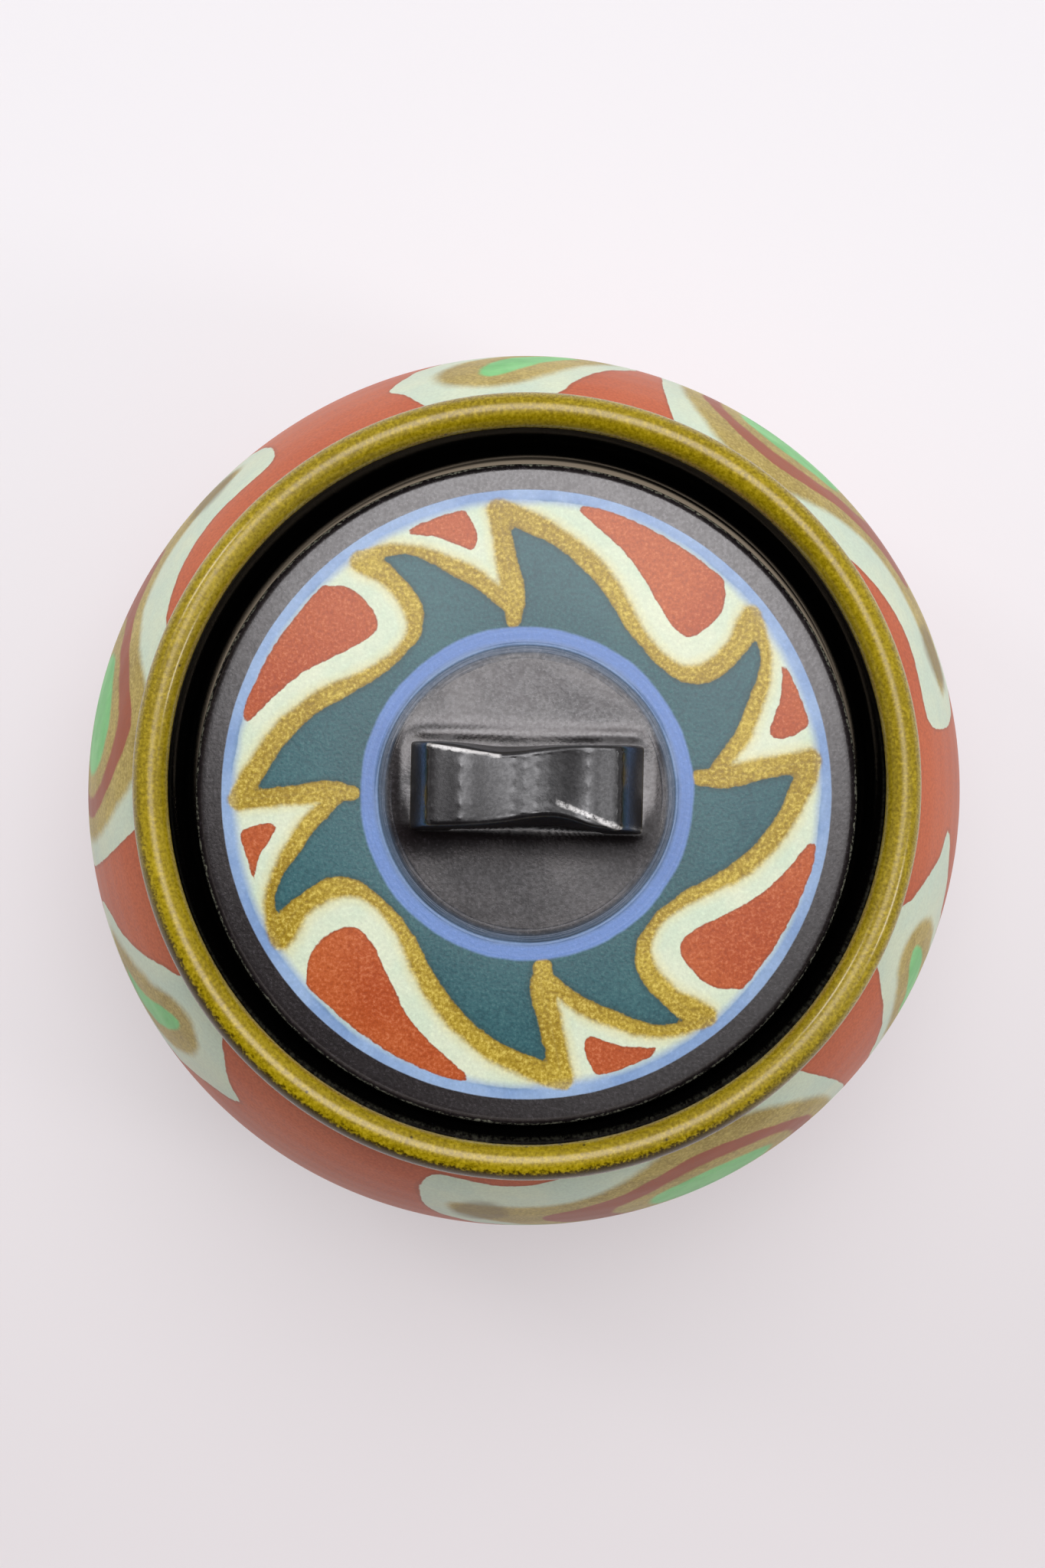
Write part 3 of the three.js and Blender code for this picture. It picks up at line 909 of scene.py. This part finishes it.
def pulled_strap():
    """The strap: a ribbon between its outer side and the finger gap, grown across in six steps."""
    bm = bmesh.new()
    outer_verts = [bm.verts.new((x, -1, z)) for x, z in mirrored(OUTER)]
    outer_edges = [bm.edges.new(pair) for pair in zip(outer_verts[:-1], outer_verts[1:])]
    ribbon = bmesh.ops.extrude_edge_only(bm, edges=outer_edges)["geom"]
    inner_at = mirrored(INNER)
    for vert in [v for v in ribbon if isinstance(v, bmesh.types.BMVert)]:
        near = min(range(len(outer_verts)), key=lambda i: (outer_verts[i].co - vert.co).length)
        vert.co = (inner_at[near][0], -1, inner_at[near][1])
    side = list(bm.faces)
    for number, step in enumerate((0.14, 0.3, 0.56, 0.56, 0.3, 0.14)):
        grown = bmesh.ops.extrude_face_region(bm, geom=side)["geom"]
        moved = [g for g in grown if isinstance(g, bmesh.types.BMVert)]
        bmesh.ops.translate(bm, verts=moved, vec=(0, step, 0))
        if number:
            bmesh.ops.delete(bm, geom=side, context="FACES_ONLY")
        side = [g for g in grown if isinstance(g, bmesh.types.BMFace)]
    for vert in bm.verts:
        x, across, z = vert.co
        vert.co.y = across * half_width(x, z, across)
        if z > 12:
            vert.co.z += fold(x, across)
    bmesh.ops.recalc_face_normals(bm, faces=bm.faces)
    corners = [e for e in bm.edges if len(e.link_faces) == 2 and e.calc_face_angle() > 0.9]
    bmesh.ops.bevel(bm, geom=corners, offset=0.6, offset_type="OFFSET", segments=2, profile=0.5,
                    affect="EDGES", material=-1, clamp_overlap=True)
    bmesh.ops.recalc_face_normals(bm, faces=bm.faces)
    bm.normal_update()
    return bm


def sharpness(vert):
    """0 where the faces round a vertex lie flat, and 1 where two of them are square."""
    normals = [face.normal for face in vert.link_faces]
    return 1 - min((a.dot(b) for a in normals for b in normals), default=1)


def black_glaze():
    """Black, breaking to ochre on the legs' edges, which is partly a painted reflection of the lid's ochre,
    with a painted ochre reflection low on the legs and painted pale highlights along the pinched top.
    """
    f = Glaze("black_glaze", IOR=1.6, Coat_Roughness=0.18)
    along, across, rise = f.read("along"), f.read("across"), f.read("rise")
    cloud = f.grain(7, 3.0, 0.55)
    black = f.flecked(f.mottled(cloud, "100e0f", "1a1718"), 0.3, "3c383b", 0.5, 0.8)
    # ochre on the sharp edges: partly glaze thinning there, partly a painted reflection of the lid's ochre
    # strokes
    broken = f.step(f.read("edge") + (f.ragged - 0.5) * 0.5, 0.3, 0.8) * (1 - f.step(rise, 11.0, 12.6))
    # painted reflection: an ochre line low on the legs, where they mirror the lid's strokes
    foot_reflection = f.band(rise + (f.ragged - 0.5) * 0.8, 0.5, 0.8, 1.0, 1.4)
    black = f.mix(broken.most(foot_reflection) * 0.6, black, paint("6b6034"))

    # painted highlights: pale lines along the left edge and on the raised fold at the near right of the top
    off_left_edge = (across - 3.55 + along * 0.14).size()
    off_right_fold = (across + 0.42 + along * 0.395).size()
    left_edge = (1 - f.step(off_left_edge, 0.1, 0.3)) * (1 - f.step(along, -3.8, -3.0))
    right_fold = (1 - f.step(off_right_fold, 0.15, 0.55)) * f.step(along, 4.2, 5.0)
    pinched = left_edge.most(right_fold) * f.step(rise, 11.8, 12.2) * f.step(f.speck + cloud * 0.5, 0.4, 0.8)
    black = f.mix(pinched * 0.85, black, paint("dcd9d6"))

    fine = f.bump(f.speck, 0.014)
    f.feed(Base_Color=black, Roughness=0.24 + f.speck * 0.12, Coat_Weight=f.step(f.speck, 0.35, 0.65) * 0.5,
           Normal=f.bump(f.grain(6, 0.0), 0.09, fine))
    return f


def make_handle():
    bm = pulled_strap()
    edge = [sharpness(vert) for vert in bm.verts]
    mesh = bpy.data.meshes.new("bridge_handle")
    bm.to_mesh(mesh)
    bm.free()
    along, across, rise = places(mesh).T
    note(mesh, "edge", np.clip(edge, 0, 1))
    note(mesh, "along", along)
    note(mesh, "across", across)
    note(mesh, "rise", rise)
    x, y = swung(along - HANDLE_LEAN * rise / HANDLE_RISE, across, HANDLE_TURN)
    settle(mesh, np.column_stack([x, y + LID_Y + HANDLE_OFF, rise + PAD_TOP]))
    made = piece("bridge_handle", mesh, black_glaze(), "lid", "lid_handle")
    rounding = made.modifiers.new("rounding", "SUBSURF")
    rounding.levels = rounding.render_levels = 3


make_handle()


# ======== table, lights and camera ========

def lay_table():
    """A plain pale table top that glows a little, so that shadows on it stay shallow, and whose colour is
    darkened towards the near side as painted shade.
    """
    mesh = bpy.data.meshes.new("table_top")
    bm = bmesh.new()
    bmesh.ops.create_grid(bm, x_segments=1, y_segments=1, size=3.0)
    bm.to_mesh(mesh)
    bm.free()
    table_top = bpy.data.objects.new("table_top", mesh)
    bpy.context.scene.collection.objects.link(table_top)
    f = Finish("pale_table", Roughness=0.6, Emission_Strength=0.46)
    depth = f.node("ShaderNodeSeparateXYZ", {}, {0: f.at}, "Y") + (f.grain(60, 2.0) - 0.5) * 0.02
    # painted shade: the top is coloured darker towards the near side, where less light falls
    near = 1 - f.step(depth, -0.13, 0.1)
    out_of_sight = 1 - f.step(depth, -0.7, -0.12)
    f.feed(Base_Color=f.mix(near, paint("a8a5a7"), paint("908889")),
           Emission_Color=f.mix(out_of_sight, (0.96, 0.936, 0.96, 1), (0.4, 0.392, 0.4, 1)))
    mesh.materials.append(f.material)


def way_to(azimuth, tilt):
    """A direction: azimuth in degrees from +X, tilt down from straight above."""
    a, t = math.radians(azimuth), math.radians(tilt)
    return Vector((math.cos(a) * math.sin(t), math.sin(a) * math.sin(t), math.cos(t)))


class Room(Nodes):
    """The studio all round the jar, whose light depends on the direction."""

    def __init__(self, world):
        world.use_nodes = True
        super().__init__(world.node_tree)
        self.way = self.node("ShaderNodeTexCoord", {}, {}, "Generated")

    def patch(self, azimuth, tilt, inner, outer):
        """1 within the inner angle of a direction and 0 beyond the outer one."""
        toward = self.node("ShaderNodeVectorMath", {"operation": "DOT_PRODUCT"}, {
            0: self.way, 1: way_to(azimuth, tilt)}, "Value")
        return self.step(toward, math.cos(math.radians(outer)), math.cos(math.radians(inner)))


def light_room():
    """A pale room with a soft window almost overhead and a dark stand leaning over the near side."""
    world = bpy.data.worlds.new("studio")
    bpy.context.scene.world = world
    room = Room(world)
    dark_stand = room.patch(252, 42, 34, 46)
    window = room.patch(80, 19, 7, 27)
    second_window = room.patch(330, 20, 4, 24)
    background = world.node_tree.nodes["Background"]
    room.put(background.inputs["Color"], (0.98, 0.97, 1.0, 1))
    room.put(background.inputs["Strength"], 0.36 * (1 - dark_stand) + 6.0 * window + 0.9 * second_window)


def softbox(name, azimuth, tilt):
    """A soft lamp that faces the lid."""
    lamp = bpy.data.lights.new(name, "AREA")
    lamp.shape = "RECTANGLE"
    lamp.size, lamp.size_y = 0.22, 0.16
    lamp.energy = 2.2
    made = bpy.data.objects.new(name, lamp)
    bpy.context.scene.collection.objects.link(made)
    way = way_to(azimuth, tilt)
    made.location = way * 1.3 + Vector((0, 0, 0.08))
    made.rotation_euler = way.to_track_quat("Z", "Y").to_euler()


def overhead_camera():
    """Looks straight down on the lid from a little to the left and in front."""
    eye = Vector((-6.46, -12.24, 642.0)) * MM
    aim = Vector((-0.31, 0.96, 49.0)) * MM
    back = (eye - aim).normalized()
    right = Vector((0, 1, 0)).cross(back).normalized()
    lens = bpy.data.cameras.new("overhead")
    lens.sensor_width = 36
    lens.lens = 91.67
    lens.clip_start = 0.01
    camera = bpy.data.objects.new("overhead", lens)
    turn = Matrix((right, back.cross(right), back)).transposed().to_4x4()
    camera.matrix_world = Matrix.Translation(eye) @ turn
    bpy.context.scene.collection.objects.link(camera)
    bpy.context.scene.camera = camera


lay_table()
light_room()
softbox("left_lamp", 144, 45)
softbox("right_lamp", 343, 47)
overhead_camera()
bpy.context.scene.view_settings.view_transform = "Standard"
